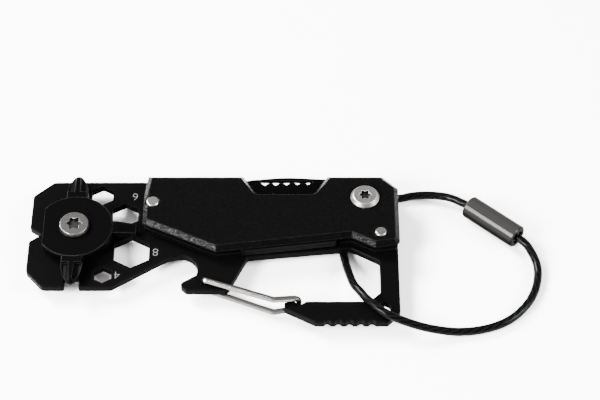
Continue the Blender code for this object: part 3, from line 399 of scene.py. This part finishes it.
def paint_coated():
    """Black steel: plate, blade, wheel, liner and cover."""
    paint("body_plate", coated_material(
        "plate_coated", colour=grey(0.0006), edge_wear_and_highlight_colour=grey(0.003), roughness=0.38,
        grain_scale=2600.0, grain_depth=0.012))
    paint("blade", coated_material(
        "blade_coated", colour=DEEP_BLACK, edge_wear_and_highlight_colour=grey(0.005), roughness=0.36))
    paint("bit_wheel", coated_material(
        "wheel_coated", colour=grey(0.0004), edge_wear_and_highlight_colour=grey(0.012), roughness=0.36))
    paint("lock_liner", coated_material(
        "liner_coated", colour=grey(0.0008), edge_wear_and_highlight_colour=grey(0.005), roughness=0.4))
    paint("front_cover", cover_material())


def paint_turned():
    """Screws, nuts, pins, washers, spacers and bushes."""
    screw_steel = (0.08, 0.078, 0.074)
    pivot_steel = (0.235, 0.229, 0.22)
    pin_steel = (0.23, 0.223, 0.216)
    plain_steel = grey(0.28)
    bronze = (0.3, 0.21, 0.1)
    paint("wheel_screw", turned_material("wheel_screw", screw_steel, roughness=0.35, recess=2.0))
    paint("pivot_screw", turned_material("pivot_screw", pivot_steel, roughness=0.35, recess=1.6))
    for name in ("left_pin", "stop_pin", "wheel_nut", "pivot_nut"):
        paint(name, turned_material(name, pin_steel, roughness=0.3))
    for name in ("wheel_washer", "left_spacer", "stop_spacer"):
        paint(name, turned_material(name, plain_steel, roughness=0.35))
    for name in ("wheel_bush", "pivot_bush", "blade_washer_lower", "blade_washer_upper"):
        paint(name, turned_material(name, bronze, roughness=0.35))


def paint_polished():
    """Gate, sleeve and the cable's end fittings."""
    paint("gate_wire", polished_material(
        "gate_polished", colour=(0.15, 0.146, 0.14), grazing_shade_colour=grey(0.003), roughness=0.12))
    paint("cable_sleeve", sleeve_material())
    ferrule_steel = polished_material(
        "ferrule_steel", colour=grey(0.1), grazing_shade_colour=grey(0.02), roughness=0.25)
    for name in ("swivel_ferrule", "screw_ferrule"):
        paint(name, ferrule_steel)


# Cable

CABLE_RADIUS = 0.95
CABLE_STEP = 0.8
CABLE_SEGMENTS = 24
STRANDS = 6
# Turn of the strand pattern along the cable, in radians per metre
TWIST = 2700.0
STRAND_DEPTH = 0.012
# Heights of the strand wave
CREST_STARTS = 0.2
CREST_FULL = 1.0

# The route is in plan sizes, from the tool's right end and the top edge of the carabiner's arm
RIGHT = TOOL_LENGTH - WHEEL_FROM_LEFT
ARM_TOP = -19.0
# Gaps between the cable and the table, and between the cable and the arm
TABLE_GAP = 0.1
ARM_GAP = 0.3
# Heights of the cable's middle where it lies on the table and where it crosses the arm
LYING = TABLE_GAP + CABLE_RADIUS
CROSSING = PLATE_TOP_Z + ARM_GAP + CABLE_RADIUS
# The cable's ends are inside the sleeve, this far from its middle
SLEEVE_REACH = 6.9
SLEEVE_CENTRE = Vector((RIGHT + 21.9, 4.95, 2.75))
SLEEVE_TURN = math.radians(-41)
SLEEVE_AXIS = Vector((math.cos(SLEEVE_TURN), math.sin(SLEEVE_TURN), 0))
CABLE_ROUTE = [
    SLEEVE_CENTRE - SLEEVE_AXIS * SLEEVE_REACH,
    (RIGHT + 15.6, 10.4, 2.6),
    (RIGHT + 12.0, 12.7, 2.2),
    (RIGHT + 7.6, 13.8, 1.7),
    (RIGHT + 3.8, 13.9, 1.3),
    (RIGHT + 0.5, 13.3, LYING),
    (RIGHT - 5.6, 12.6, LYING),
    (RIGHT - 11.2, 10.5, LYING),
    (RIGHT - 13.0, 5.2, LYING),
    (RIGHT - 13.1, 0.5, LYING),
    (RIGHT - 12.6, -3.8, LYING),
    (RIGHT - 12.3, -5.6, 1.3),
    (RIGHT - 12.0, -7.7, 2.0),
    (RIGHT - 10.7, ARM_TOP + 5.0, CROSSING - 1.2),
    (RIGHT - 9.2, ARM_TOP + 2.0, CROSSING - 0.3),
    (RIGHT - 7.6, ARM_TOP - 0.5, CROSSING),
    (RIGHT - 3.8, ARM_TOP - 4.2, CROSSING),
    (RIGHT + 1.0, ARM_TOP - 6.0, CROSSING - 1.0),
    (RIGHT + 6.5, ARM_TOP - 6.6, CROSSING - 2.7),
    (RIGHT + 12.7, ARM_TOP - 6.4, LYING + 0.2),
    (RIGHT + 18.8, ARM_TOP - 5.4, LYING),
    (RIGHT + 23.9, ARM_TOP - 3.1, LYING),
    (RIGHT + 27.8, ARM_TOP + 0.7, LYING),
    (RIGHT + 30.2, ARM_TOP + 4.9, LYING),
    (RIGHT + 31.3, ARM_TOP + 9.5, LYING + 0.1),
    (RIGHT + 31.1, ARM_TOP + 13.2, LYING + 0.5),
    (RIGHT + 29.5, ARM_TOP + 17.1, LYING + 1.1),
    (RIGHT + 28.1, ARM_TOP + 18.6, LYING + 1.5),
    SLEEVE_CENTRE + SLEEVE_AXIS * SLEEVE_REACH,
]


def cable_material():
    """Clear black coating over twisted strands, drawn on a tube's own length and turn; the lighter crests are
    partly painted highlight.
    """
    material, tree, shader = start_material("cable_coated", grey(0.006), roughness=0.25, gloss=0.02)
    shader.inputs["Coat Weight"].default_value = 0.02
    shader.inputs["Coat Roughness"].default_value = 0.12
    place = add_node(tree, "ShaderNodeUVMap")
    split = add_node(tree, "ShaderNodeSeparateXYZ")
    tree.links.new(place.outputs["UV"], split.inputs["Vector"])
    turn = calculate(tree, "MULTIPLY", split.outputs["Y"], STRANDS * math.tau)
    twisted = calculate(tree, "MULTIPLY_ADD", split.outputs["X"], TWIST, turn)
    wave = calculate(tree, "SINE", twisted)
    strand_crest_and_highlight = ramp(tree, wave, CREST_STARTS, CREST_FULL)
    # Lighter strand crests: partly the strands' own tone under the coating, partly painted highlight dashes
    tree.links.new(blend(tree, strand_crest_and_highlight, grey(0.0004), grey(0.0018)), shader.inputs["Base Color"])
    bump = add_node(tree, "ShaderNodeBump", Strength=1.0, Distance=STRAND_DEPTH * MM)
    tree.links.new(wave, bump.inputs["Height"])
    tree.links.new(bump.outputs["Normal"], shader.inputs["Normal"])
    return material


def smooth_through(points, step):
    """Points about step apart on a smooth curve through the given points."""
    path = []
    count = len(points)
    for index in range(count - 1):
        before = points[max(index - 1, 0)]
        here = points[index]
        after = points[index + 1]
        beyond = points[min(index + 2, count - 1)]
        pieces = max(1, round((after - here).length / step))
        for piece in range(pieces):
            t = piece / pieces
            path.append(
                0.5 * (2 * here + (after - before) * t
                       + (2 * before - 5 * here + 4 * after - beyond) * t ** 2
                       + (3 * here - before - 3 * after + beyond) * t ** 3))
    path.append(points[-1])
    return path


def lengths_along(path):
    """Length of a path up to each of its points."""
    lengths = [0.0]
    for before, here in zip(path, path[1:]):
        lengths.append(lengths[-1] + (here - before).length)
    return lengths


def sides_along(path):
    """For each point of a path, two directions square to it that turn as little as they can."""
    side = None
    for index in range(len(path)):
        ahead = (path[min(index + 1, len(path) - 1)] - path[max(index - 1, 0)]).normalized()
        if side is None:
            side = ahead.orthogonal().normalized()
        side = (side - ahead * side.dot(ahead)).normalized()
        yield side, ahead.cross(side)


def tube_along(name, path, radius, segments):
    """Round tube along a path, with its length and turn in its UV map, in metres and turns."""
    mesh = bmesh.new()
    chart = mesh.loops.layers.uv.new("UVMap")
    lengths = lengths_along(path)
    rings = []
    for here, (side, other) in zip(path, sides_along(path)):
        ring = []
        for step in range(segments):
            angle = math.tau * step / segments
            ring.append(mesh.verts.new(here + (side * math.cos(angle) + other * math.sin(angle)) * radius))
        rings.append(ring)
    for first in range(len(rings) - 1):
        for step in range(segments):
            corners = ((first, step), (first, step + 1), (first + 1, step + 1), (first + 1, step))
            face = mesh.faces.new([rings[row][column % segments] for row, column in corners])
            face.smooth = True
            for loop, (row, column) in zip(face.loops, corners):
                loop[chart].uv = (lengths[row], column / segments)
    mesh.faces.new(list(reversed(rings[0])))
    mesh.faces.new(rings[-1])
    bmesh.ops.recalc_face_normals(mesh, faces=mesh.faces)
    return add_mesh(name, mesh)


def make_cable():
    route = [plan(*point) for point in CABLE_ROUTE]
    path = smooth_through(route, CABLE_STEP * MM)
    cable = tube_along("cable_coated", path, CABLE_RADIUS * MM, CABLE_SEGMENTS)
    cable.data.materials.append(cable_material())
    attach(cable, "frame")
    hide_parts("cable")


# Numerals beside the wrench holes

NUMERAL_PLACES = {"6": (13.1, 11.4), "8": (18.5, -5.0), "4": (10.1, -11.6)}
NUMERAL_SIZE = 3.0
NUMERAL_HALF_THICKNESS = 0.004
NUMERAL_LIFT = 0.008
# Each stroke's outline is drawn in by this much
STROKE_THINNING = 0.05


def marking_material():
    """Worn grey print."""
    material, tree, shader = start_material("marking", grey(0.25), roughness=0.6)
    wear = object_noise(tree, Scale=5000.0, Detail=3.0)
    worn = blend(tree, wear.outputs["Fac"], grey(0.01), grey(0.045))
    tree.links.new(worn, shader.inputs["Base Color"])
    return material


def make_numeral(text, x, y, material):
    """Numeral printed upside down on the plate."""
    curve = bpy.data.curves.new("numeral_" + text, "FONT")
    curve.body = text
    curve.size = NUMERAL_SIZE * MM
    curve.align_x = "CENTER"
    curve.align_y = "CENTER"
    curve.extrude = NUMERAL_HALF_THICKNESS * MM
    curve.offset = -STROKE_THINNING * MM
    curve.materials.append(material)
    item = add_object("numeral_" + text, curve)
    item.location = plan(x, y, PLATE_TOP_Z + NUMERAL_LIFT)
    item.rotation_euler = (0, 0, math.pi)
    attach(item, "frame")


def make_numerals():
    material = marking_material()
    for text, (x, y) in NUMERAL_PLACES.items():
        make_numeral(text, x, y, material)


# Studio

FLOOR_REACH = 3000.0
SKY_STRENGTH = 1.2


def make_floor():
    mesh = bmesh.new()
    bmesh.ops.create_grid(mesh, x_segments=1, y_segments=1, size=FLOOR_REACH * MM)
    floor = add_mesh("floor", mesh)
    material, _, _ = start_material("floor_white", grey(0.88), roughness=0.7)
    floor.data.materials.append(material)


def add_softbox(name, place, size, power):
    """Square light that looks at the frame's origin, with its place and size in millimetres."""
    data = bpy.data.lights.new(name, "AREA")
    data.shape = "SQUARE"
    data.size = size * MM
    data.energy = power
    light = add_object(name, data)
    light.location = Vector(place) * MM
    light.rotation_euler = (-light.location).to_track_quat("-Z", "Y").to_euler()


def make_light():
    world = bpy.data.worlds.new("studio")
    world.use_nodes = True
    sky = world.node_tree.nodes["Background"]
    sky.inputs["Color"].default_value = (1, 1, 1, 1)
    sky.inputs["Strength"].default_value = SKY_STRENGTH
    bpy.context.scene.world = world
    add_softbox("softbox_key", place=(-620, -420, 530), size=320, power=70.0)
    add_softbox("softbox_back", place=(-640, 420, 680), size=400, power=85.0)
    add_softbox("softbox_right", place=(750, -150, 500), size=400, power=36.0)


make_camera()
paint_coated()
paint_turned()
paint_polished()
make_cable()
make_numerals()
make_floor()
make_light()
